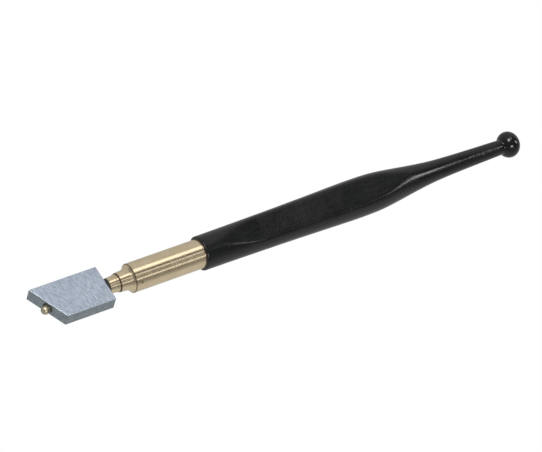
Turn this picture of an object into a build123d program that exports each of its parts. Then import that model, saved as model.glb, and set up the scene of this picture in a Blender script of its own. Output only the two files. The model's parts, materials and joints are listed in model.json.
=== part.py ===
from build123d import *

import os
from math import asin, atan2, degrees, radians, sin, sqrt

# Glazier's diamond glass cutter: a steel head that swivels on a spindle in a brass ferrule, with a turned
# handle behind it.
#
# Millimetres. The pieces are modelled on the tool's axis, the line Y = Z = 0. X is 0 at the steel head's rear
# face and grows towards the ball at the handle's tail. Z is square to the handle's two flats, and also to the
# head's broad faces in the middle of its swivel.
# At rest the head hangs to one side on its stop, so its pieces are turned about the axis at the end, and the
# whole tool is lifted until its box stands on Z = 0 with the origin at the box's bottom centre.
# A *_ROLL is the turn about +X, in degrees, that takes +Z to a direction square to the axis.

# Steel head: a flat block with a slanted front face, the sole, that carries the stone.
HEAD_LONG = 23.3        # length of the side at +Y
HEAD_SHORT = 16.9       # length of the side at -Y
HEAD_WIDTH = 13.0
HEAD_THICK = 4.6
HEAD_CHAMFER = 0.12

# Stone, its setting and the solder that holds the setting, along the sole's outward normal.
SETTING_BORE_R = 1.75
SETTING_BORE_DEPTH = 5.0
SETTING_ACROSS = 0.2     # how far its axis lies off the middle of the sole, towards -Y
SETTING_R = 1.4
SETTING_STRAIGHT = 1.25  # how far the plain shank stands out of the sole
SETTING_NOSE = 2.3       # where the rounded nose ends
SETTING_NOSE_R = 0.75
SETTING_BULGE = 0.15     # how far the nose's arc stands off its chord
SOLDER_RECESS = 0.3
STONE_REACH = 2.65       # the stone's point above the sole
STONE_HALF_HEIGHT = 0.62
STONE_HALF_WIDTH = 0.47
STONE_POINT = 0.04       # half width of the tiny flat at each end of the crystal

# Spindle: a 3 mm rod, screwed into the head at one end and held by two nuts at the other.
SPINDLE_R = 1.5
SPINDLE_IN_HEAD = 8.0
RUNNING_CLEARANCE = 0.04
SPINDLE_CHAMFER = 0.3

# Washer, collar and friction washer stacked on the spindle between the head and the ferrule.
SEAT_WASHER_R = 2.42
SEAT_WASHER_END = 0.9
COLLAR_FRONT_R = 2.5
COLLAR_REAR_R = 2.82
COLLAR_END = 4.1
COLLAR_LAND = 0.7        # plain band at the collar's rear edge
COLLAR_STEP = 0.14       # how far the band stands out of the taper
COLLAR_EDGE = 0.1        # bevel at the collar's front edge and at the step
FRICTION_WASHER_R = 2.95
FRICTION_WASHER_THICK = 0.35

# Ferrule: a solid nose that the spindle runs in, then a chamber for the nuts and the handle's tenon.
FERRULE_START = COLLAR_END + FRICTION_WASHER_THICK
NOSE_FRONT_R = 3.05
NOSE_REAR_R = 3.2
FLARE_START = 6.3
FLARE_R = 2.7            # of the hollow that widens the nose to the barrel
FERRULE_R = 4.66
RIM_X = 8.75             # the barrel's front edge
RIM_CHAMFER = 0.12
FERRULE_END = 33.7
CHAMBER_START = 15.5
CHAMBER_R = 3.55

# Swivel stop: a pin in the ferrule's wall reaches into a short groove round the spindle.
SWIVEL_EACH_WAY = 14.0   # degrees; at rest the head hangs this far towards +Y
STOP_X = 10.7
STOP_PIN_R = 0.5
STOP_PIN_ROLL = 48.0
GROOVE_DEPTH = 0.55
GROOVE_GAP = 0.03        # round the pin's foot: to the groove's floor and to each of its sides
GROOVE_END_GAP = 0.6     # degrees of spare groove past each limit

# Washers and nuts in the chamber.
THRUST_WASHER_R = 3.3
THRUST_WASHER_THICK = 0.5
SPRING_WASHER_R = 2.9
SPRING_BEND_R = 9.0
SPRING_THICK = 0.2
SPRING_GAP = 0.02
NUT_ACROSS_FLATS = 5.5
NUT_THICK = 2.4
JAM_NUT_THICK = 1.8
NUT_CHAMFER_ANGLE = 30.0
SPINDLE_PAST_NUTS = 0.7

# Handle: turned, with a tenon pressed and pinned in the ferrule, a ball at the tail and two long flats.
TENON_START = 23.3
TENON_PIN_X = 29.0
TENON_PIN_R = 0.6
TENON_PIN_ROLL = 195.0
TENON_PIN_DEPTH = 3.2    # below the ferrule's outside
HANDLE_FRONT_R = 5.52
HANDLE_FRONT_FILLET = 0.35
BALL_X = 152.6
BALL_R = 4.33
BALL_HALF_LENGTH = 3.67  # the ball is a little flattened along the axis
NECK_R = 2.45            # where the neck meets the ball
# The turned outline is three smooth stretches through these points of (x, radius). The grip ends at the belly,
# the shoulder at the waist and the neck at the ball, with the slopes given for those places.
GRIP = ((48.0, 5.61), (64.0, 5.80), (79.0, 6.10), (92.0, 6.32))
SHOULDER = ((100.5, 6.08), (107.5, 5.27), (116.0, 4.12), (124.0, 3.35))
NECK = ((135.0, 2.86),)
FRONT_SLOPE = 0.006
BELLY_SLOPE = 0.0
WAIST_SLOPE = -0.062
NECK_SLOPE = -0.028
# Each flat seen from the side, as (x, distance from the axis): a soft ramp in, then a plane that runs out.
FLAT_RAMP_START = (36.0, 5.75)
FLAT_PLANE_START = (56.0, 3.96)
FLAT_PLANE_END = (118.0, 5.10)

BIG = 20.0               # larger than any section of the tool
BOX_TOLERANCE = 0.002    # of the points that the whole tool's box is measured on

SOLE_SLANT = degrees(atan2(HEAD_LONG - HEAD_SHORT, HEAD_WIDTH))


def turned(outline):
    """A solid of revolution about the tool's axis from a closed outline of (x, radius)."""
    return revolve(make_face(outline), Axis.X)


def tube(start, end, outer, inner=0.0):
    """A plain tube or rod about the tool's axis, from x = start to x = end."""
    along_x = Plane.YZ.offset(start)
    ring = along_x * Circle(outer)
    if inner:
        ring -= along_x * Circle(inner)
    return extrude(ring, amount=end - start)


def rolled(shape, roll):
    """The shape turned about the tool's axis."""
    return Rot(X=roll) * shape


def radial_rod(x, radius, foot, roll):
    """A long rod standing square to the axis, from its foot's distance outwards."""
    rod = Cylinder(radius, BIG, align=(Align.CENTER, Align.CENTER, Align.MIN))
    return rolled(Pos(x, 0, foot) * rod, roll)


def sole_plane():
    """The plane of the sole, with its origin on the stone's axis and its normal pointing out of the tool."""
    middle = Vector((-HEAD_LONG - HEAD_SHORT) / 2, 0, 0)
    outward = Vector(-1, 0, 0).rotate(Axis.Z, SOLE_SLANT)
    across = Vector(0, -1, 0).rotate(Axis.Z, SOLE_SLANT)
    return Plane(origin=middle + across * SETTING_ACROSS, x_dir=(0, 0, 1), z_dir=outward)


def on_sole(shape):
    """A shape built along +Z from 0 stood on the sole, along its outward normal."""
    return sole_plane().location * shape


def head_block():
    half = HEAD_WIDTH / 2
    outline = Polyline(
        (-HEAD_LONG, half), (0, half), (0, -half), (-HEAD_SHORT, -half), close=True
    )
    block = extrude(make_face(outline), amount=HEAD_THICK / 2, both=True)
    block = chamfer(block.edges(), HEAD_CHAMFER)
    stone_bore = Pos(0, 0, -SETTING_BORE_DEPTH) * Cylinder(
        SETTING_BORE_R, 2 * SETTING_BORE_DEPTH, align=(Align.CENTER, Align.CENTER, Align.MIN)
    )
    return block - on_sole(stone_bore) - tube(-SPINDLE_IN_HEAD, 1, SPINDLE_R)


def solder_ring():
    ring = Circle(SETTING_BORE_R) - Circle(SETTING_R)
    depth = SETTING_BORE_DEPTH - SOLDER_RECESS
    return on_sole(Pos(0, 0, -SETTING_BORE_DEPTH) * extrude(ring, amount=depth))


def stone():
    """A small octahedral crystal, point outwards, on the setting's axis."""
    centre = STONE_REACH - STONE_HALF_HEIGHT
    square = Rectangle(2 * STONE_HALF_WIDTH, 2 * STONE_HALF_WIDTH)
    tip = Rectangle(2 * STONE_POINT, 2 * STONE_POINT)
    halves = [
        loft([Pos(0, 0, centre) * square, Pos(0, 0, centre + side * STONE_HALF_HEIGHT) * tip])
        for side in (1, -1)
    ]
    return on_sole(halves[0] + halves[1])


def stone_setting():
    """The stub that holds the stone: a shank in the bore, a bellied nose, and the stone's own socket."""
    bottom = -SETTING_BORE_DEPTH
    belly = (
        (SETTING_R + SETTING_NOSE_R) / 2 + SETTING_BULGE,
        (SETTING_STRAIGHT + SETTING_NOSE) / 2 + SETTING_BULGE,
    )
    shank = Polyline((0, SETTING_NOSE), (0, bottom), (SETTING_R, bottom), (SETTING_R, SETTING_STRAIGHT))
    nose = ThreePointArc((SETTING_R, SETTING_STRAIGHT), belly, (SETTING_NOSE_R, SETTING_NOSE))
    end = Line((SETTING_NOSE_R, SETTING_NOSE), (0, SETTING_NOSE))
    profile = Plane.XZ * make_face(shank + nose + end)
    return on_sole(revolve(profile, Axis.Z)) - stone()


def spindle():
    end = nut_start() + NUT_THICK + JAM_NUT_THICK + SPINDLE_PAST_NUTS
    rod = tube(-SPINDLE_IN_HEAD, end, SPINDLE_R)
    rod = chamfer(rod.faces().sort_by(Axis.X)[-1].edges(), SPINDLE_CHAMFER)
    groove_floor = SPINDLE_R - GROOVE_DEPTH
    pin_half_angle = degrees(atan2(STOP_PIN_R, groove_floor))
    half_arc = SWIVEL_EACH_WAY + pin_half_angle + GROOVE_END_GAP
    section = Pos(STOP_X, groove_floor) * Rectangle(
        2 * (STOP_PIN_R + GROOVE_GAP), 2 * GROOVE_DEPTH, align=(Align.CENTER, Align.MIN)
    )
    groove = revolve(section, Axis.X, revolution_arc=2 * half_arc)
    # The section stands at +Y, a quarter turn before +Z, and the groove runs on from it.
    return rod - rolled(groove, STOP_PIN_ROLL + 90 - half_arc)


def seat_washer():
    return tube(0, SEAT_WASHER_END, SEAT_WASHER_R, SPINDLE_R)


def collar():
    land_start = COLLAR_END - COLLAR_LAND
    return turned(
        Polyline(
            (SEAT_WASHER_END, SPINDLE_R),
            (SEAT_WASHER_END, COLLAR_FRONT_R - COLLAR_EDGE),
            (SEAT_WASHER_END + COLLAR_EDGE, COLLAR_FRONT_R),
            (land_start, COLLAR_REAR_R - COLLAR_STEP),
            (land_start + COLLAR_EDGE, COLLAR_REAR_R),
            (COLLAR_END, COLLAR_REAR_R),
            (COLLAR_END, SPINDLE_R),
            close=True,
        )
    )


def friction_washer():
    return tube(COLLAR_END, FERRULE_START, FRICTION_WASHER_R, SPINDLE_R + RUNNING_CLEARANCE)


def ferrule():
    edge_x = RIM_X - RIM_CHAMFER
    flare_end = (edge_x, NOSE_REAR_R + FLARE_R - sqrt(FLARE_R**2 - (edge_x - FLARE_START) ** 2))
    front = Polyline(
        (FERRULE_START, 0), (FERRULE_START, NOSE_FRONT_R), (FLARE_START, NOSE_REAR_R)
    )
    flare = TangentArc((FLARE_START, NOSE_REAR_R), flare_end, tangent=(1, 0))
    barrel = Polyline(
        flare_end,
        (edge_x, FERRULE_R - RIM_CHAMFER),
        (RIM_X, FERRULE_R),
        (FERRULE_END, FERRULE_R),
        (FERRULE_END, 0),
        (FERRULE_START, 0),
    )
    body = turned(front + flare + barrel)
    body -= tube(FERRULE_START, CHAMBER_START, SPINDLE_R + RUNNING_CLEARANCE)
    body -= tube(CHAMBER_START, FERRULE_END, CHAMBER_R)
    return body - stop_pin() - tenon_pin()


def flush_pin(x, radius, foot, roll):
    """A pin pressed in from the ferrule's outside and filed off flush with it."""
    return radial_rod(x, radius, foot, roll) & tube(0, FERRULE_END, FERRULE_R)


def stop_pin():
    return flush_pin(STOP_X, STOP_PIN_R, SPINDLE_R - GROOVE_DEPTH + GROOVE_GAP, STOP_PIN_ROLL)


def tenon_pin():
    return flush_pin(TENON_PIN_X, TENON_PIN_R, FERRULE_R - TENON_PIN_DEPTH, TENON_PIN_ROLL)


def thrust_washer():
    end = CHAMBER_START + THRUST_WASHER_THICK
    return tube(CHAMBER_START, end, THRUST_WASHER_R, SPINDLE_R + RUNNING_CLEARANCE)


def spring_washer():
    """A washer bent about a line across it, which presses the nuts away from the thrust washer."""
    start = CHAMBER_START + THRUST_WASHER_THICK + SPRING_GAP
    flat = tube(start - 1, start + BIG, SPRING_WASHER_R, SPINDLE_R + RUNNING_CLEARANCE)
    bend = Circle(SPRING_BEND_R) - Circle(SPRING_BEND_R - SPRING_THICK)
    sheet = extrude(Pos(start + SPRING_BEND_R, 0) * bend, amount=BIG, both=True)
    near_half = tube(start - 1, start + SPRING_BEND_R, BIG)
    return flat & sheet & near_half


def nut_start():
    """Where the first nut's face is: clear of the spring washer's raised edges."""
    rise = SPRING_BEND_R - sqrt((SPRING_BEND_R - SPRING_THICK) ** 2 - SPRING_WASHER_R**2)
    return CHAMBER_START + THRUST_WASHER_THICK + 2 * SPRING_GAP + rise


def hex_nut(start, thick):
    """A hexagon nut on the spindle, its corners turned off on both faces."""
    corner = NUT_ACROSS_FLATS / sqrt(3)
    prism = extrude(Plane.YZ.offset(start) * RegularPolygon(corner, 6), amount=thick)
    bevel = (corner - NUT_ACROSS_FLATS / 2) * sin(radians(NUT_CHAMFER_ANGLE))
    cone = turned(
        Polyline(
            (start, 0),
            (start, NUT_ACROSS_FLATS / 2),
            (start + bevel, corner),
            (start + thick - bevel, corner),
            (start + thick, NUT_ACROSS_FLATS / 2),
            (start + thick, 0),
            close=True,
        )
    )
    return (prism & cone) - tube(start, start + thick, SPINDLE_R)


def handle():
    edge_x = FERRULE_END + HANDLE_FRONT_FILLET
    tenon = Polyline(
        (TENON_START, 0),
        (TENON_START, CHAMBER_R),
        (FERRULE_END, CHAMBER_R),
        (FERRULE_END, HANDLE_FRONT_R - HANDLE_FRONT_FILLET),
    )
    edge = ThreePointArc(
        (FERRULE_END, HANDLE_FRONT_R - HANDLE_FRONT_FILLET),
        (
            edge_x - HANDLE_FRONT_FILLET * sin(radians(45)),
            HANDLE_FRONT_R - HANDLE_FRONT_FILLET * (1 - sin(radians(45))),
        ),
        (edge_x, HANDLE_FRONT_R),
    )
    grip = smooth_stretch((edge_x, HANDLE_FRONT_R), GRIP, FRONT_SLOPE, BELLY_SLOPE)
    shoulder = smooth_stretch(GRIP[-1], SHOULDER, BELLY_SLOPE, WAIST_SLOPE)
    ball_sweep = 180 - degrees(asin(NECK_R / BALL_R))
    ball = EllipticalCenterArc((BALL_X, 0), BALL_HALF_LENGTH, BALL_R, arc_size=ball_sweep)
    neck = smooth_stretch(SHOULDER[-1], (*NECK, ball @ 1), WAIST_SLOPE, NECK_SLOPE)
    axis = Line((BALL_X + BALL_HALF_LENGTH, 0), (TENON_START, 0))
    body = turned(tenon + edge + grip + shoulder + neck + ball + axis)
    return body - tenon_pin() - flat_cutter(0) - flat_cutter(180)


def smooth_stretch(start, stations, start_slope, end_slope):
    """A smooth curve of (x, radius) from start through the stations."""
    return Spline(start, *stations, tangents=((1, start_slope), (1, end_slope)))


def flat_cutter(roll):
    """What is planed off the handle's side that faces this way."""
    plane_slope = (FLAT_PLANE_END[1] - FLAT_PLANE_START[1]) / (FLAT_PLANE_END[0] - FLAT_PLANE_START[0])
    ramp = Spline(FLAT_RAMP_START, FLAT_PLANE_START, tangents=((1, 0), (1, plane_slope)))
    rest_of_floor = Line(FLAT_PLANE_START, FLAT_PLANE_END)
    roof = Polyline(
        FLAT_PLANE_END, (FLAT_PLANE_END[0], BIG), (FLAT_RAMP_START[0], BIG), FLAT_RAMP_START
    )
    side_view = Plane.XZ * make_face(ramp + rest_of_floor + roof)
    return rolled(extrude(side_view, amount=BIG, both=True), roll)


def head_side():
    """The pieces that turn with the head, square to the handle's flats."""
    first_nut = nut_start()
    return {
        "head_block": head_block(),
        "solder_ring": solder_ring(),
        "stone_setting": stone_setting(),
        "diamond": stone(),
        "spindle": spindle(),
        "seat_washer": seat_washer(),
        "collar": collar(),
        "spindle_nut": hex_nut(first_nut, NUT_THICK),
        "jam_nut": hex_nut(first_nut + NUT_THICK, JAM_NUT_THICK),
    }


def handle_side():
    """The pieces that stay with the handle."""
    return {
        "friction_washer": friction_washer(),
        "ferrule": ferrule(),
        "stop_pin": stop_pin(),
        "thrust_washer": thrust_washer(),
        "spring_washer": spring_washer(),
        "tenon_pin": tenon_pin(),
        "handle": handle(),
    }


def main():
    parts = handle_side()
    for name, piece in head_side().items():
        parts[name] = rolled(piece, -SWIVEL_EACH_WAY)
    points = [point for piece in parts.values() for point in piece.tessellate(BOX_TOLERANCE)[0]]
    middle = (min(point.X for point in points) + max(point.X for point in points)) / 2
    lowest = min(point.Z for point in points)
    to_row_frame = Pos(-middle, 0, -lowest)
    print("origin, seen from the head's rear face on the axis:", middle, 0, lowest)
    os.makedirs("parts", exist_ok=True)
    for name, piece in parts.items():
        export_step(to_row_frame * piece, f"parts/{name}.step")


main()
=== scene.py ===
import json
from math import asin, cos, pi, radians, sin

import bmesh
import bpy
import numpy as np
from mathutils import Matrix, Quaternion, Vector, noise


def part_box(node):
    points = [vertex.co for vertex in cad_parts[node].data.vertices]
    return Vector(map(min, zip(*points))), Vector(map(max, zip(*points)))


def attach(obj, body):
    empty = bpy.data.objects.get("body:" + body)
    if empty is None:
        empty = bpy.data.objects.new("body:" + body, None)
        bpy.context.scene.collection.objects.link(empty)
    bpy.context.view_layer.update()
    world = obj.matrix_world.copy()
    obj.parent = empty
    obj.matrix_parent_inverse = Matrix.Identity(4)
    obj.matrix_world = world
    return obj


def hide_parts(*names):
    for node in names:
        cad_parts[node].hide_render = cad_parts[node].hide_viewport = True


# The looks of a glazier's diamond glass cutter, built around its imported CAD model.
#
# The CAD pieces of metal and fibre keep their shapes and get worked materials. The lacquered handle, the
# stone's setting and the solder round it are replaced by finer pieces with softened edges.
# Lengths named here are in millimetres, and MM turns them into Blender's metres. "Along" is measured on the
# tool's axis from the steel head's rear face, towards the ball.

MM = 0.001

# Camera, in degrees and metres, with its lens in millimetres.
CAMERA_AZIMUTH = -62.01
CAMERA_ELEVATION = 57.88
CAMERA_ROLL = 38.45
CAMERA_DISTANCE = 0.992
CAMERA_AIM = (-0.00584, 0.00070, 0.00559)
CAMERA_LENS = 212.06

# Studio, in metres. Each softbox is (direction it shines from, direction of its long side, length, width,
# radiance), and lights everything but the turned brass.
LIGHT_DISTANCE = 2.5
SOFTBOXES = {
    "ceiling_strip_near": ((-0.32, 0.33, 0.88), (0, 1, 0), 0.88, 0.85, 12.5),
    "ceiling_strip_far": ((0.20, 0.43, 0.88), (0, 1, 0), 0.80, 0.50, 5.6),
    "tube": ((0.78, -0.185, 0.60), (0.53, -0.23, -0.82), 1.25, 0.42, 8.5),
    "window": ((-0.24, -0.66, 0.71), (1, 0, 0), 1.0, 0.52, 13.5),
}
# Long strips along the tool, which light the turned brass alone. Each is (degrees from overhead towards +Y,
# width, radiance).
STRIPS = {
    "wide_strip": (24.6, 1.02, 1.30),
    "narrow_strip": (-10.7, 0.36, 1.15),
    "between_strip": (-28.0, 0.42, 0.36),
    "side_strip": (-45.4, 0.36, 1.35),
}
STRIP_LENGTH = 9.0
BACKDROP_RADIUS = 6.0
# Brightness of the room round the tool's axis: (degrees from overhead towards +Y, brightness).
ROOM = (
    (-180, 0.50), (-132, 0.56), (-100, 0.56), (-88, 0.42), (-75, 0.28), (-57, 0.18), (-40, 0.08), (-20, 0.07),
    (0, 0.07), (16, 0.08), (50, 0.50), (65, 0.55), (81, 0.52), (100, 0.50), (140, 0.48), (180, 0.50),
)
DIM_END = (-0.85, -0.35)   # where the room above the floor fades towards the head's end, as the direction's X
DIM_END_GREY = 0.22
FLOOR_EDGE = (-0.25, -0.05)   # where the bright floor ends, as the direction's Z

# Handle, as in the CAD.
TENON_START = 23.3
TENON_R = 3.53
TENON_CHAMFER = 0.2
HANDLE_START = 33.7
FACE_GAP = 0.01          # keeps the front face just clear of the ferrule
UNDERCUT_DEPTH = 0.1     # of the front face, where it meets the tenon
UNDERCUT_REACH = 0.25
HANDLE_FRONT_R = 5.50
FRONT_FILLET = 0.42
BALL_X = 152.6
BALL_R = 4.33
BALL_HALF_LENGTH = 3.67
NECK_R = 2.45
NECK_FILLET = 0.35
# Stations of the turned outline, (along, radius), and its slopes where one stretch ends and the next starts.
GRIP = ((48.0, 5.60), (64.0, 5.79), (79.0, 6.09), (92.0, 6.31))
SHOULDER = ((100.5, 6.07), (107.5, 5.26), (116.0, 4.12), (124.0, 3.35))
NECK = ((135.0, 2.86),)
FRONT_SLOPE = 0.006
BELLY_SLOPE = 0.0
WAIST_SLOPE = -0.062
NECK_SLOPE = -0.028
# The flats, (along, distance from the axis): a ramp eases in to a plane, which rises towards the ball.
RAMP_START = (36.0, 5.75)
PLANE_START = (56.0, 3.96)
PLANE_END = (118.0, 5.10)
EDGE_ON = 0.05           # least cosine of the angle to a flat, which keeps its reach finite
EDGE_SOFTNESS = 0.55     # of the lacquered edges between the flats and the round
HAND_WORK = 0.03         # how far the surface dips where it was sanded by hand
HAND_WORK_LENGTH = 7.0   # of one dip along the tool
HAND_WORK_ROUND = 1.6    # how much shorter the dips are round the tool
HAND_WORK_FADE = 2.0     # behind the front edge, which stays true
HAND_WORK_R = 3.0        # below this radius the dips get shallower
HANDLE_STEP = 0.6
HANDLE_SEGMENTS = 144
FRONT_FILLET_POINTS = 9
NECK_FILLET_POINTS = 7
BALL_POINTS = 50

# Setting and solder, measured along the sole's outward normal.
SETTING_OUTLINE = (
    (-4.9, 0.0), (-4.9, 1.39), (0.98, 1.39), (1.06, 1.42), (1.25, 1.42), (1.46, 1.39), (1.68, 1.32),
    (1.90, 1.19), (2.09, 1.02), (2.23, 0.85), (2.28, 0.74), (2.24, 0.64), (2.10, 0.57), (1.90, 0.0),
)
SETTING_FILE_FLATS = ((40, 1.27), (165, 1.31), (285, 1.25))   # (degrees round it, distance from its axis)
SETTING_FILED_FROM = 0.98
SETTING_TIP_R = 0.6      # inside this radius the nose's end stays round
FILED_SOFTNESS = 0.1
SOLDER_LUMPS = 0.02
SOLDER_OUTLINE = (
    (-4.9, 1.40), (-4.9, 1.74), (-0.10, 1.74), (-0.16, 1.71), (-0.24, 1.65), (-0.28, 1.57), (-0.25, 1.49),
    (-0.14, 1.43), (0.02, 1.40),
)
SMALL_SEGMENTS = 64
SHARP_ANGLE = 50         # degrees; edges beyond it are shaded sharp

# Which slot each finer piece has, by the node that it replaces.
PIECE_SLOTS = {"handle": "black_lacquer_wood", "stone_setting": "brass_setting", "solder_ring": "solder"}

# Marks on the metal, and painted shade on it.
GRIME_AND_SHADE = ((4.28, 0.32), (8.70, 0.20))   # dirt and painted shade in the joint, and painted shade in a thin ring at the barrel's rim, as (along, reach)
HEAD_TURN = 14.0         # degrees; squares the head's coordinates up again
EDGE_ROUNDING = 0.22     # of the head's edges, in how they shade
GRIND_POLE = 40.8        # the grinding lines fan out from a point this far from the axis, towards -Y

# Where the lacquer's finish changes, along the tool.
GLOSSY_WAIST = (88.0, 118.0)
BRUSHED_NECK = (130.0, 142.0)
DULL_NECK = (133.0, 142.0)
CALM_BALL = (143.0, 149.0)
GLOSSY_BALL = (146.5, 149.5)

# Colours. A pair goes from deep to pale.
# Dark brown for the dirt and painted shade in the joint and the painted shade at the barrel's rim.
GRIME_AND_SHADE_COLOUR = (0.13, 0.08, 0.045)
STEEL_FACE = ((0.34, 0.39, 0.47), (0.67, 0.745, 0.855))
STEEL_CLOUD = (0.40, 0.455, 0.545)
# The machined sides' darker grey-green is partly their finish and partly painted shade. The edges' pale
# colour is a painted highlight.
STEEL_SIDE_WITH_SHADE = ((0.25, 0.293, 0.32), (0.42, 0.475, 0.507))
STEEL_EDGE_HIGHLIGHT = (0.62, 0.69, 0.76)
SETTING_BRASS = ((0.50, 0.43, 0.30), (0.84, 0.76, 0.58))
STONE = ((0.72, 0.74, 0.78), (0.95, 0.95, 0.93))
LACQUER = ((0.002, 0.0023, 0.0023), (0.013, 0.0138, 0.0138))
LACQUER_SPECK = (0.06, 0.06, 0.058)

# Places of a Mix node's colour sockets.
MIX_FACTOR, MIX_FIRST, MIX_SECOND, MIX_RESULT = 0, 6, 7, 2

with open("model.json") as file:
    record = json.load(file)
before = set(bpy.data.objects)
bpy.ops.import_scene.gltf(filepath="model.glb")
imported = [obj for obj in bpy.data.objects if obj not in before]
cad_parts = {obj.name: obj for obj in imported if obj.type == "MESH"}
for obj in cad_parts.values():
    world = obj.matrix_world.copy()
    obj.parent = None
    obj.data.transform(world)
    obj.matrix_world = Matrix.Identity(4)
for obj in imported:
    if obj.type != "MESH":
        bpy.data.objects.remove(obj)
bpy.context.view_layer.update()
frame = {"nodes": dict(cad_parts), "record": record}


def axis_point():
    """The point of the tool's axis at the steel head's rear face."""
    head_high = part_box("head_block")[1]
    ferrule_low, ferrule_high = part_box("ferrule")
    return Vector((head_high.x, 0, (ferrule_low.z + ferrule_high.z) / 2))


def setting_frame():
    """Where the stone's setting stands: its origin is on the sole, under the stone, and Z points outwards."""
    sole = next(mount for mount in frame["record"]["mounts"] if mount["name"] == "sole")
    normal = Vector(sole["axis"]).normalized()
    stone_low, stone_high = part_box("diamond")
    stone = (stone_low + stone_high) / 2
    foot = stone - normal * (stone - Vector(sole["pos_m"])).dot(normal)
    return Matrix.Translation(foot) @ normal.to_track_quat("Z", "Y").to_matrix().to_4x4()


# ---------------------------------------------------------------------------------------------- shapes


def spline_points(stations, start_slope, end_slope, step):
    """Points of the smooth curve through the stations, (along, radius), with these slopes at its ends."""
    xs, ys = (np.array(column) for column in zip(*stations))
    gaps = np.diff(xs)
    count = len(xs)
    system = np.zeros((count, count))
    wanted = np.zeros(count)
    system[0, 0] = system[-1, -1] = 1
    wanted[0], wanted[-1] = start_slope, end_slope
    for i in range(1, count - 1):
        before, after = gaps[i - 1], gaps[i]
        system[i, i - 1:i + 2] = 1 / before, 2 / before + 2 / after, 1 / after
        wanted[i] = 3 * ((ys[i] - ys[i - 1]) / before**2 + (ys[i + 1] - ys[i]) / after**2)
    slopes = np.linalg.solve(system, wanted)
    points = []
    for i, gap in enumerate(gaps):
        pieces = max(1, round(gap / step))
        for t in np.arange(pieces) / pieces:
            points.append((float(xs[i] + t * gap), float(hermite(t, gap, ys[i:i + 2], slopes[i:i + 2]))))
    return points + [(float(xs[-1]), float(ys[-1]))]


def hermite(t, gap, values, slopes):
    """The cubic between two values with their slopes, at t from 0 to 1."""
    return (
        values[0] * (1 + 2 * t) * (1 - t) ** 2
        + slopes[0] * gap * t * (1 - t) ** 2
        + values[1] * t**2 * (3 - 2 * t)
        + slopes[1] * gap * t**2 * (t - 1)
    )


def handle_outline():
    """The turned outline of the handle, (along, radius), from the tenon's end to the ball's tail."""
    face = HANDLE_START + FACE_GAP
    outline = [(TENON_START, 0.0), (TENON_START, TENON_R - TENON_CHAMFER)]
    outline += [(TENON_START + TENON_CHAMFER, TENON_R), (HANDLE_START + UNDERCUT_DEPTH, TENON_R)]
    outline.append((face, TENON_R + UNDERCUT_REACH))
    for angle in np.radians(np.linspace(0, 90, FRONT_FILLET_POINTS)):
        along = face + FRONT_FILLET * (1 - cos(angle))
        outline.append((along, HANDLE_FRONT_R - FRONT_FILLET * (1 - sin(angle))))
    outline += spline_points((outline.pop(), *GRIP), FRONT_SLOPE, BELLY_SLOPE, HANDLE_STEP)
    outline += spline_points((outline.pop(), *SHOULDER), BELLY_SLOPE, WAIST_SLOPE, HANDLE_STEP)
    front_angle = pi - asin(NECK_R / BALL_R)
    ball_start = front_angle - NECK_FILLET / BALL_HALF_LENGTH
    corner = ball_point(front_angle)
    before_corner = (corner[0] - NECK_FILLET, corner[1] - NECK_FILLET * NECK_SLOPE)
    after_corner = ball_point(ball_start)
    outline += spline_points((outline.pop(), *NECK, before_corner), WAIST_SLOPE, NECK_SLOPE, HANDLE_STEP)
    for t in np.linspace(0, 1, NECK_FILLET_POINTS)[1:]:
        weights = ((1 - t) ** 2, 2 * t * (1 - t), t**2)
        points = zip(before_corner, corner, after_corner)
        outline.append(tuple(float(sum(w * v for w, v in zip(weights, values))) for values in points))
    for angle in np.linspace(ball_start, 0, BALL_POINTS)[1:]:
        outline.append(ball_point(angle))
    return outline


def ball_point(angle):
    """A point of the ball's outline, the angle counted from its tail."""
    return BALL_X + BALL_HALF_LENGTH * cos(angle), max(0.0, BALL_R * sin(angle))


def flat_distance(along):
    """How far a flat lies from the axis at this place."""
    plane_slope = (PLANE_END[1] - PLANE_START[1]) / (PLANE_END[0] - PLANE_START[0])
    if along < RAMP_START[0]:
        return RAMP_START[1]
    if along > PLANE_START[0]:
        return PLANE_START[1] + plane_slope * (along - PLANE_START[0])
    length = PLANE_START[0] - RAMP_START[0]
    t = (along - RAMP_START[0]) / length
    return hermite(t, length, (RAMP_START[1], PLANE_START[1]), (0, plane_slope))


def soft_min(a, b, softness):
    """The smaller of two lengths, with the corner between them eased off inwards."""
    overlap = max(softness - abs(a - b), 0) / softness
    return min(a, b) - overlap**2 * softness / 4


def handle_radius(along, radius, angle):
    """The handle's radius with its flats and hand work, the angle counted from the side that lies up."""
    if along <= HANDLE_START + FRONT_FILLET:
        return radius
    flat = flat_distance(along) / max(abs(cos(angle)), EDGE_ON)
    shaped = soft_min(radius, flat, EDGE_SOFTNESS)
    girth = HAND_WORK_ROUND * radius
    place = Vector((along, girth * sin(angle), girth * cos(angle))) / HAND_WORK_LENGTH
    depth = HAND_WORK * min(1, radius / HAND_WORK_R)
    fade = min(1, (along - HANDLE_START - FRONT_FILLET) / HAND_WORK_FADE)
    return shaped - fade * depth * (1 + noise.noise(place)) / 2


def setting_radius(along, radius, angle):
    """The setting's radius with a few shallow file flats on its nose."""
    if along < SETTING_FILED_FROM or radius < SETTING_TIP_R:
        return radius
    for degrees_round, distance in SETTING_FILE_FLATS:
        facing = cos(angle - radians(degrees_round))
        if facing > FILED_SOFTNESS:
            radius = soft_min(radius, distance / facing, FILED_SOFTNESS)
    return radius


def solder_radius(along, radius, angle):
    """The solder's radius: the puddle's open face, just under the sole, is a little uneven."""
    if not -1 < along < 0:
        return radius
    return radius - SOLDER_LUMPS * (1 + noise.noise(Vector((2 * cos(angle), 2 * sin(angle), along))))


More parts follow.
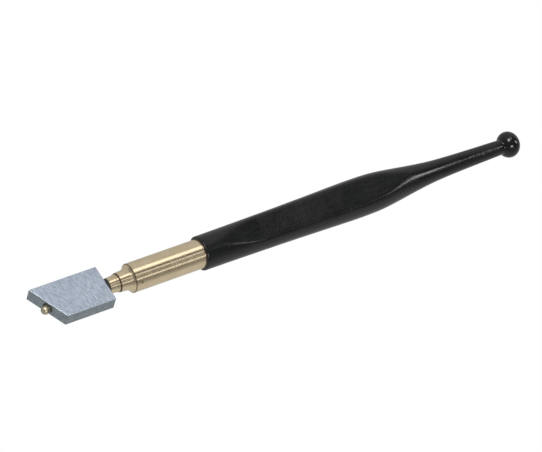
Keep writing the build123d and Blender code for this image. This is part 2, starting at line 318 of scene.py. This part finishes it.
def spun(name, outline, reshape, segments, place, closed):
    """A surface spun round its own Z axis from (along, radius), each ring reshaped, then moved to its place.
    Closed outlines join their last ring to the first; open ones start and end on the axis."""
    shape = bmesh.new()
    rings = []
    for along, radius in outline:
        if radius == 0:
            rings.append([shape.verts.new(place @ Vector((0, 0, along * MM)))])
            continue
        ring = []
        for step in range(segments):
            angle = 2 * pi * step / segments
            reach = reshape(along, radius, angle) * MM
            ring.append(shape.verts.new(place @ Vector((reach * cos(angle), reach * sin(angle), along * MM))))
        rings.append(ring)
    pairs = list(zip(rings, rings[1:] + rings[:1] if closed else rings[1:]))
    for ring, after in pairs:
        for step in range(segments):
            following = (step + 1) % segments
            corners = [ring[step % len(ring)], ring[following % len(ring)]]
            corners += [after[following % len(after)], after[step % len(after)]]
            shape.faces.new(list(dict.fromkeys(corners)))
    bmesh.ops.recalc_face_normals(shape, faces=shape.faces)
    mesh = bpy.data.meshes.new(name)
    shape.to_mesh(mesh)
    shape.free()
    for polygon in mesh.polygons:
        polygon.use_smooth = True
    mesh.set_sharp_from_angle(angle=radians(SHARP_ANGLE))
    piece = bpy.data.objects.new(name, mesh)
    bpy.context.scene.collection.objects.link(piece)
    return piece


def build_pieces():
    """The pieces that replace CAD nodes, as (piece, the node's name)."""
    # These two lay a spun shape's Z axis along the tool, with the angle 0 on its upper side.
    lie_down = Matrix(((0, 0, 1, 0), (0, 1, 0, 0), (-1, 0, 0, 0), (0, 0, 0, 1)))
    upside = Matrix.Rotation(pi, 4, "Z")
    along_tool = Matrix.Translation(axis_point()) @ lie_down @ upside
    on_sole = setting_frame()
    handle = spun("lacquered_handle", handle_outline(), handle_radius, HANDLE_SEGMENTS, along_tool, False)
    setting = spun("filed_setting", SETTING_OUTLINE, setting_radius, SMALL_SEGMENTS, on_sole, False)
    solder = spun("solder_puddle", SOLDER_OUTLINE, solder_radius, SMALL_SEGMENTS, on_sole, True)
    return (handle, "handle"), (setting, "stone_setting"), (solder, "solder_ring")


# ------------------------------------------------------------------------------------------- materials


class Recipe:
    """The node tree of a material or a world, with short calls for the nodes that the recipes share."""

    def __init__(self, owner):
        self.owner = owner
        owner.use_nodes = True
        self.nodes = owner.node_tree.nodes
        self.links = owner.node_tree.links

    def node(self, kind, inputs=(), **settings):
        """A new node. Each input is (socket, value), the value a number, a tuple or another socket."""
        made = self.nodes.new("ShaderNode" + kind)
        for setting, value in settings.items():
            setattr(made, setting, value)
        for socket, value in inputs:
            self.put(made.inputs[socket], value)
        return made

    def put(self, socket, value):
        """Links a socket to the input, or sets it to a number or tuple."""
        if isinstance(value, bpy.types.NodeSocket):
            self.links.new(value, socket)
        else:
            socket.default_value = value

    def set(self, **values):
        """Sets the shader's sockets, an underscore in a name standing for a space."""
        shader = self.nodes["Principled BSDF"]
        for name, value in values.items():
            self.put(shader.inputs[name.replace("_", " ")], value)

    def math(self, operation, *values):
        """One step of arithmetic."""
        return self.node("Math", tuple(enumerate(values)), operation=operation).outputs[0]

    def share(self, part, first, second):
        """This part of the first value and the rest of the second."""
        rest = 1 - part if isinstance(part, float) else self.math("SUBTRACT", 1.0, part)
        return self.math("ADD", self.math("MULTIPLY", first, part), self.math("MULTIPLY", second, rest))

    def length(self, first, second):
        """How long the vector with these two components is."""
        squares = self.math("ADD", self.math("POWER", first, 2.0), self.math("POWER", second, 2.0))
        return self.math("SQRT", squares)

    def place(self, turn=0.0):
        """Millimetres from the axis point, in coordinates turned about X by so many degrees."""
        spot = self.node("TexCoord").outputs["Object"]
        spot = self.node("VectorMath", ((0, spot), (1, tuple(axis_point()))), operation="SUBTRACT").outputs[0]
        if turn:
            rotation = (("Vector", spot), ("Angle", radians(turn)))
            spot = self.node("VectorRotate", rotation, rotation_type="X_AXIS").outputs[0]
        return self.node("VectorMath", ((0, spot), ("Scale", 1 / MM)), operation="SCALE").outputs[0]

    def parts(self, vector):
        """The vector's X, Y and Z."""
        return self.node("SeparateXYZ", ((0, vector),)).outputs

    def stretch(self, vector, scale):
        """The vector with each of its parts scaled on its own."""
        return self.node("VectorMath", ((0, vector), (1, scale)), operation="MULTIPLY").outputs[0]

    def noise(self, vector, scale=1.0, detail=3.0, roughness=0.55, distortion=0.0):
        """Noise from 0 to 1, about so many lumps to a unit of the vector."""
        settings = (
            ("Vector", vector), ("Scale", scale), ("Detail", detail), ("Roughness", roughness),
            ("Distortion", distortion),
        )
        return self.node("TexNoise", settings).outputs["Fac"]

    def spread(self, value, low, high, to_low=0.0, to_high=1.0):
        """The value from low to high stretched to another range, and held inside it."""
        span = (
            ("Value", value), ("From Min", low), ("From Max", high), ("To Min", to_low), ("To Max", to_high),
        )
        return self.node("MapRange", span).outputs["Result"]

    def blend(self, factor, first, second):
        """Goes from the first colour to the second."""
        made = self.node("Mix", ((MIX_FACTOR, factor),), data_type="RGBA")
        for socket, colour in ((MIX_FIRST, first), (MIX_SECOND, second)):
            self.put(made.inputs[socket], (*colour, 1) if isinstance(colour, tuple) else colour)
        return made.outputs[MIX_RESULT]

    def bump(self, height, depth, normal=None):
        """The surface raised by depth millimetres times the height."""
        made = self.node("Bump", (("Height", height), ("Distance", depth * MM), ("Strength", 1.0)))
        if normal:
            self.put(made.inputs["Normal"], normal)
        return made.outputs["Normal"]

    def edge_wear(self, radius, strength):
        """1 on edges rounded over by this many millimetres, and 0 elsewhere."""
        rounded = self.node("Bevel", (("Radius", radius * MM),), samples=4).outputs[0]
        true_normal = self.node("NewGeometry").outputs["Normal"]
        agreement = self.node("VectorMath", ((0, rounded), (1, true_normal)), operation="DOT_PRODUCT")
        return self.spread(agreement.outputs["Value"], 1.0, 1.0 - strength)


def material(name):
    """A new material's recipe."""
    return Recipe(bpy.data.materials.new(name))


def brighter(colour, times):
    """The colour this many times as bright, held below burning out."""
    return tuple(min(1.0, times * channel) for channel in colour)


def turned_metal(name, pale, deep, roughness, lines, speck=None):
    """Lathe-turned metal: fine rings round the axis, patchy tarnish, a few specks and brighter edges."""
    recipe = material(name)
    spot = recipe.place()
    along, towards_y, upwards = recipe.parts(spot)
    distance = recipe.length(towards_y, upwards)
    rings_at = recipe.node("CombineXYZ", ((0, along), (1, distance), (2, 0.0))).outputs[0]
    fine = recipe.noise(rings_at, 9.0, 2.0, 0.6)
    broad = recipe.noise(rings_at, 0.8, 1.0, 0.5)
    patches = recipe.noise(spot, 0.35, 4.0, 0.6, 0.4)
    tone = recipe.share(0.35, fine, patches)
    colour = recipe.blend(recipe.spread(tone, 0.34, 0.66), deep, pale)
    wear = recipe.math("MULTIPLY", recipe.edge_wear(0.12, 0.12), 0.5)
    colour = recipe.blend(wear, colour, brighter(pale, 1.12))
    if speck:
        dots = recipe.noise(recipe.stretch(spot, (1.4, 2.6, 2.6)), 1.0, 2.0, 0.5)
        colour = recipe.blend(recipe.spread(dots, 0.70, 0.76), colour, speck)
    # Dirt and painted shade darken the brass in the joint, and painted shade darkens a thin ring at the
    # barrel's rim.
    for middle, reach in GRIME_AND_SHADE:
        off = recipe.math("ABSOLUTE", recipe.math("SUBTRACT", along, middle))
        colour = recipe.blend(recipe.spread(off, 0.4 * reach, reach, 0.8, 0.0), colour, GRIME_AND_SHADE_COLOUR)
    rough = recipe.spread(recipe.math("ADD", fine, patches), 0.7, 1.3, roughness - 0.05, roughness + 0.06)
    rings = recipe.math("MULTIPLY", fine, 0.15 * lines)
    swells = recipe.math("MULTIPLY", broad, 2.5 * lines)
    recipe.set(
        Base_Color=colour, Metallic=1.0, Roughness=rough, Anisotropic=0.4, Anisotropic_Rotation=0.25,
        Tangent=recipe.node("Tangent", direction_type="RADIAL", axis="X").outputs[0],
        Normal=recipe.bump(recipe.math("ADD", rings, swells), 1.0),
    )
    return recipe.owner


def ground_steel():
    """The head: bluish faces ground with lines fanning across it, machined sides in a darker grey-green that
    is partly painted shade, and edges painted pale as a highlight.
    """
    recipe = material("ground_steel")
    spot = recipe.place(HEAD_TURN)
    along, towards_y = recipe.parts(spot)[:2]
    from_pole = recipe.math("ADD", towards_y, GRIND_POLE)
    bearing = recipe.math("MULTIPLY", recipe.math("ARCTAN2", along, from_pole), GRIND_POLE)
    reach = recipe.length(along, from_pole)
    fan = recipe.node("CombineXYZ", ((0, bearing), (1, reach), (2, 0.0))).outputs[0]
    scratches = recipe.noise(recipe.stretch(fan, (5.0, 0.55, 1.0)), 1.0, 3.0, 0.6, 0.3)
    streaks = recipe.noise(recipe.stretch(fan, (2.2, 0.36, 1.0)), 1.0, 3.0, 0.6, 0.3)
    clouds = recipe.noise(spot, 0.16, 2.0, 0.5)
    tone = recipe.share(0.55, scratches, streaks)
    face = recipe.blend(recipe.spread(tone, 0.40, 0.60), *STEEL_FACE)
    face = recipe.blend(recipe.spread(clouds, 0.35, 0.75, 0.0, 0.35), face, STEEL_CLOUD)

    grain = recipe.noise(recipe.stretch(spot, (3.0, 3.0, 6.0)), 1.0, 3.0, 0.6)
    mottle = recipe.noise(spot, 0.7, 3.0, 0.6)
    side_tone = recipe.share(0.5, grain, mottle)
    shaded_side = recipe.blend(recipe.spread(side_tone, 0.35, 0.65), *STEEL_SIDE_WITH_SHADE)

    # Broad faces, machined sides and the narrow edges between them are told apart by where they face. The
    # sides' darker colour is partly their finish and partly painted shade, and the edges' pale colour is a
    # painted highlight.
    normal = recipe.node("TexCoord").outputs["Normal"]
    square = (0.0, sin(radians(HEAD_TURN)), cos(radians(HEAD_TURN)))
    facing = recipe.node("VectorMath", ((0, normal), (1, square)), operation="DOT_PRODUCT").outputs["Value"]
    facing = recipe.math("ABSOLUTE", facing)
    broad = recipe.spread(facing, 0.80, 0.95)
    edge_highlight = recipe.math("MULTIPLY", recipe.spread(facing, 0.25, 0.45), recipe.math("SUBTRACT", 1.0, broad))
    colour = recipe.blend(edge_highlight, recipe.blend(broad, shaded_side, face), STEEL_EDGE_HIGHLIGHT)
    face_rough = recipe.spread(tone, 0.3, 0.7, 0.44, 0.31)
    side_rough = recipe.spread(side_tone, 0.3, 0.7, 0.50, 0.36)
    rough = recipe.share(broad, face_rough, side_rough)
    rough = recipe.math("MAXIMUM", rough, recipe.math("MULTIPLY", edge_highlight, 0.75))
    face_height = recipe.math("ADD", recipe.math("MULTIPLY", scratches, 0.5), streaks)
    height = recipe.share(broad, face_height, grain)
    rounded = recipe.node("Bevel", (("Radius", EDGE_ROUNDING * MM),), samples=8).outputs[0]
    recipe.set(Base_Color=colour, Metallic=1.0, Roughness=rough, Normal=recipe.bump(height, 0.0014, rounded))
    return recipe.owner


def dull_metal(name, pale, deep, roughness, lumps, metallic):
    """Solder, spring steel and the like: mottled, with a lumpy surface."""
    recipe = material(name)
    spot = recipe.place()
    lump = recipe.noise(spot, 2.2, 4.0, 0.6, 0.5)
    grain = recipe.noise(spot, 9.0, 2.0, 0.6)
    tone = recipe.share(0.7, lump, grain)
    recipe.set(
        Base_Color=recipe.blend(recipe.spread(tone, 0.35, 0.65), deep, pale),
        Metallic=metallic,
        Roughness=recipe.spread(tone, 0.35, 0.65, roughness + 0.1, roughness - 0.08),
        Normal=recipe.bump(tone, lumps),
    )
    return recipe.owner


def filed_brass():
    """The setting's brass: bright file marks over a browner, slightly tarnished ground."""
    recipe = material("filed_brass")
    spot = recipe.place()
    marks = recipe.noise(recipe.stretch(spot, (2.0, 10.0, 3.0)), 1.0, 3.0, 0.6, 0.2)
    tarnish = recipe.noise(spot, 1.1, 3.0, 0.6)
    colour = recipe.blend(recipe.spread(tarnish, 0.38, 0.62), *SETTING_BRASS)
    recipe.set(
        Base_Color=colour, Metallic=1.0, Roughness=recipe.spread(marks, 0.3, 0.7, 0.46, 0.30),
        Normal=recipe.bump(marks, 0.008),
    )
    return recipe.owner


def crystal():
    """The stone: a grey, slightly cloudy natural diamond."""
    recipe = material("crystal")
    spot = recipe.place()
    clouds = recipe.noise(spot, 3.0, 3.0, 0.6)
    steps = recipe.noise(recipe.stretch(spot, (4.0, 14.0, 4.0)), 1.0, 2.0, 0.5)
    recipe.set(
        Base_Color=recipe.blend(recipe.spread(clouds, 0.4, 0.6), *STONE),
        Roughness=recipe.spread(clouds, 0.4, 0.6, 0.04, 0.14), IOR=2.42, Transmission_Weight=0.7,
        Normal=recipe.bump(steps, 0.003),
    )
    return recipe.owner


def fibre(name, pale, deep, roughness):
    """Pressed fibre: felted, with rubbed edges."""
    recipe = material(name)
    spot = recipe.place()
    felt = recipe.noise(spot, 5.0, 4.0, 0.65, 0.6)
    colour = recipe.blend(recipe.spread(felt, 0.35, 0.65), deep, pale)
    wear = recipe.math("MULTIPLY", recipe.edge_wear(0.08, 0.2), 0.4)
    colour = recipe.blend(wear, colour, brighter(pale, 2.5))
    recipe.set(
        Base_Color=colour, Roughness=recipe.spread(felt, 0.3, 0.7, roughness - 0.1, roughness + 0.12),
        Normal=recipe.bump(felt, 0.02),
    )
    return recipe.owner


def black_lacquer():
    """Brushed black lacquer on wood: orange peel, long grain showing through, handled dull on the grip."""
    recipe = material("black_lacquer")
    spot = recipe.place()
    along = recipe.parts(spot)[0]
    peel = recipe.noise(spot, 2.2, 2.0, 0.5)
    grain = recipe.noise(recipe.stretch(spot, (0.12, 1.6, 1.6)), 1.0, 4.0, 0.6, 0.2)
    pores = recipe.noise(recipe.stretch(spot, (0.9, 7.0, 7.0)), 1.0, 2.0, 0.5)
    pores = recipe.spread(pores, 0.60, 0.72)
    handling = recipe.noise(spot, 0.12, 4.0, 0.6, 0.5)
    specks = recipe.spread(recipe.noise(spot, 3.4, 2.0, 0.5), 0.70, 0.78)
    dust = recipe.noise(spot, 2.6, 3.0, 0.65)
    ground = recipe.blend(recipe.spread(recipe.share(0.35, grain, dust), 0.40, 0.62), *LACQUER)
    ground = recipe.blend(recipe.math("MULTIPLY", specks, 0.5), ground, LACQUER_SPECK)
    rough = recipe.spread(along, *GLOSSY_WAIST, 0.24, 0.20)
    rough = recipe.math("ADD", rough, recipe.spread(along, *DULL_NECK, 0.0, 0.12))
    rough = recipe.math("ADD", rough, recipe.spread(along, *GLOSSY_BALL, 0.0, -0.21))
    rough = recipe.math("ADD", rough, recipe.spread(handling, 0.3, 0.7, -0.03, 0.07))
    calm = recipe.spread(along, *CALM_BALL, 1.0, 0.2)
    waves = recipe.noise(recipe.stretch(spot, (0.5, 0.3, 0.3)), 1.0, 1.0, 0.5)
    brushed = recipe.spread(along, *BRUSHED_NECK, 0.4, 2.0)
    normal = recipe.bump(recipe.math("MULTIPLY", recipe.math("MULTIPLY", waves, calm), brushed), 0.085)
    height = recipe.math("ADD", recipe.math("MULTIPLY", peel, 0.5), recipe.math("MULTIPLY", grain, 0.6))
    normal = recipe.bump(recipe.math("MULTIPLY", height, calm), 0.010, normal)
    normal = recipe.bump(recipe.math("MULTIPLY", pores, -1.0), 0.002, normal)
    recipe.set(Base_Color=ground, Roughness=rough, IOR=1.48, Normal=normal)
    return recipe.owner


# By slot. Where a recipe takes them, they come in this order: pale colour, deep colour, roughness, depth of
# the surface's marks.
MATERIALS = {
    "brass": turned_metal(
        "turned_brass", (0.94, 0.79, 0.55), (0.80, 0.65, 0.42), 0.24, 0.0004, (0.22, 0.14, 0.06)
    ),
    "brass_setting": filed_brass(),
    "spindle_steel": turned_metal("turned_steel", (0.56, 0.56, 0.57), (0.38, 0.38, 0.39), 0.34, 0.0015),
    "ground_steel": ground_steel(),
    # The solder's dark grey-green is partly its own colour and partly painted shade of the hole round the
    # setting.
    "solder": dull_metal("solder_with_hole_shade", (0.22, 0.27, 0.25), (0.10, 0.14, 0.13), 0.5, 0.03, 0.9),
    "pin": dull_metal("filed_pin", (0.56, 0.45, 0.31), (0.28, 0.21, 0.14), 0.4, 0.004, 1.0),
    "spring_steel": dull_metal("blued_spring", (0.20, 0.22, 0.30), (0.10, 0.11, 0.15), 0.34, 0.004, 1.0),
    "diamond": crystal(),
    "black_washer": fibre("black_fibre", (0.016, 0.016, 0.016), (0.006, 0.006, 0.006), 0.5),
    "dark_washer": fibre("oiled_fibre", (0.085, 0.045, 0.025), (0.03, 0.018, 0.011), 0.45),
    "black_lacquer_wood": black_lacquer(),
}


# ---------------------------------------------------------------------------------------------- studio


def dress(obj, slot):
    """Gives the object its slot's material."""
    obj.data.materials.clear()
    obj.data.materials.append(MATERIALS[slot])


def softbox(receivers, name, direction, long_side, length, width, radiance):
    """A soft area light that faces the tool from afar and lights the receivers alone. Its radiance, in watts
    per square metre and steradian, stays the same whatever its size."""
    away = Vector(direction).normalized()
    across = away.cross(Vector(long_side)).normalized()
    along = across.cross(away)
    light = bpy.data.lights.new(name, "AREA")
    light.shape = "RECTANGLE"
    light.size = length
    light.size_y = width
    light.energy = radiance * pi * length * width
    lamp = bpy.data.objects.new(name, light)
    turn = Matrix((along, across, away)).transposed().to_4x4()
    lamp.matrix_world = Matrix.Translation(away * LIGHT_DISTANCE) @ turn
    lamp.visible_camera = False
    lamp.light_linking.receiver_collection = receivers
    bpy.context.scene.collection.objects.link(lamp)


def room():
    """Soft grey surroundings, a little brighter or darker in bands round the tool's axis."""
    recipe = Recipe(bpy.data.worlds.new("room"))
    x, y, z = recipe.parts(recipe.node("TexCoord").outputs["Generated"])
    turns = recipe.math("MULTIPLY_ADD", recipe.math("ARCTAN2", y, z), 1 / (2 * pi), 0.5)
    bands = recipe.node("ValToRGB", ((0, turns),))
    bands.color_ramp.interpolation = "EASE"
    stops = bands.color_ramp.elements
    while len(stops) > 1:
        stops.remove(stops[-1])
    for number, (angle, grey) in enumerate(ROOM):
        stop = stops[0] if number == 0 else stops.new(angle / 360 + 0.5)
        stop.position = angle / 360 + 0.5
        stop.color = (grey, grey, grey, 1)
    span = (("Value", x), ("From Min", DIM_END[0]), ("From Max", DIM_END[1]))
    lit_end = recipe.node("MapRange", span, interpolation_type="SMOOTHSTEP").outputs["Result"]
    floor = recipe.spread(z, *FLOOR_EDGE, 1.0, 0.0)
    banded = recipe.math("MAXIMUM", lit_end, floor)
    brightness = recipe.blend(banded, (DIM_END_GREY,) * 3, bands.outputs[0])
    recipe.put(recipe.nodes["Background"].inputs["Color"], brightness)
    bpy.context.scene.world = recipe.owner


def backdrop():
    """A plain white floor under a plain white dome, which the camera sees and the metal doesn't reflect."""
    dome = bmesh.new()
    bmesh.ops.create_uvsphere(dome, u_segments=64, v_segments=32, radius=BACKDROP_RADIUS)
    for vertex in dome.verts:
        vertex.co.z = max(vertex.co.z, 0.0)
    mesh = bpy.data.meshes.new("backdrop")
    dome.to_mesh(mesh)
    dome.free()
    paper = bpy.data.materials.new("white_paper")
    paper.use_nodes = True
    nodes = paper.node_tree.nodes
    nodes.remove(nodes["Principled BSDF"])
    glow = nodes.new("ShaderNodeEmission")
    paper.node_tree.links.new(glow.outputs[0], nodes["Material Output"].inputs["Surface"])
    mesh.materials.append(paper)
    stage = bpy.data.objects.new("backdrop", mesh)
    bpy.context.scene.collection.objects.link(stage)
    for rays in ("diffuse", "glossy", "transmission", "shadow"):
        setattr(stage, "visible_" + rays, False)


def camera():
    """The camera, rolled about its own line of sight."""
    azimuth, elevation = radians(CAMERA_AZIMUTH), radians(CAMERA_ELEVATION)
    back = Vector((sin(azimuth) * cos(elevation), -cos(azimuth) * cos(elevation), sin(elevation)))
    lens = bpy.data.cameras.new("camera")
    lens.lens = CAMERA_LENS
    lens.clip_end = 4 * BACKDROP_RADIUS
    eye = bpy.data.objects.new("camera", lens)
    eye.location = Vector(CAMERA_AIM) + back * CAMERA_DISTANCE
    eye.rotation_mode = "QUATERNION"
    roll = Quaternion((0, 0, 1), radians(CAMERA_ROLL))
    eye.rotation_quaternion = (-back).to_track_quat("-Z", "Y") @ roll
    bpy.context.scene.collection.objects.link(eye)
    bpy.context.scene.camera = eye


turned_brass = bpy.data.collections.new("lit_by_strips")
other_pieces = bpy.data.collections.new("lit_by_softboxes")

for name, node in frame["nodes"].items():
    slot = "pin" if name.endswith("_pin") else node.data.materials[0].name
    dress(node, slot)
    lit_alike = turned_brass if slot == "brass" else other_pieces
    lit_alike.objects.link(node)

for piece, replaced in build_pieces():
    slot = PIECE_SLOTS[replaced]
    dress(piece, slot)
    other_pieces.objects.link(piece)
    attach(piece, "handle" if replaced == "handle" else "head")
    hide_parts(replaced)

for name, (angle, width, radiance) in STRIPS.items():
    overhead = (0, sin(radians(angle)), cos(radians(angle)))
    softbox(turned_brass, name, overhead, (1, 0, 0), STRIP_LENGTH, width, radiance)
for name, box in SOFTBOXES.items():
    softbox(other_pieces, name, *box)
room()
backdrop()
camera()
bpy.context.scene.view_settings.view_transform = "Standard"

bpy.context.view_layer.update()
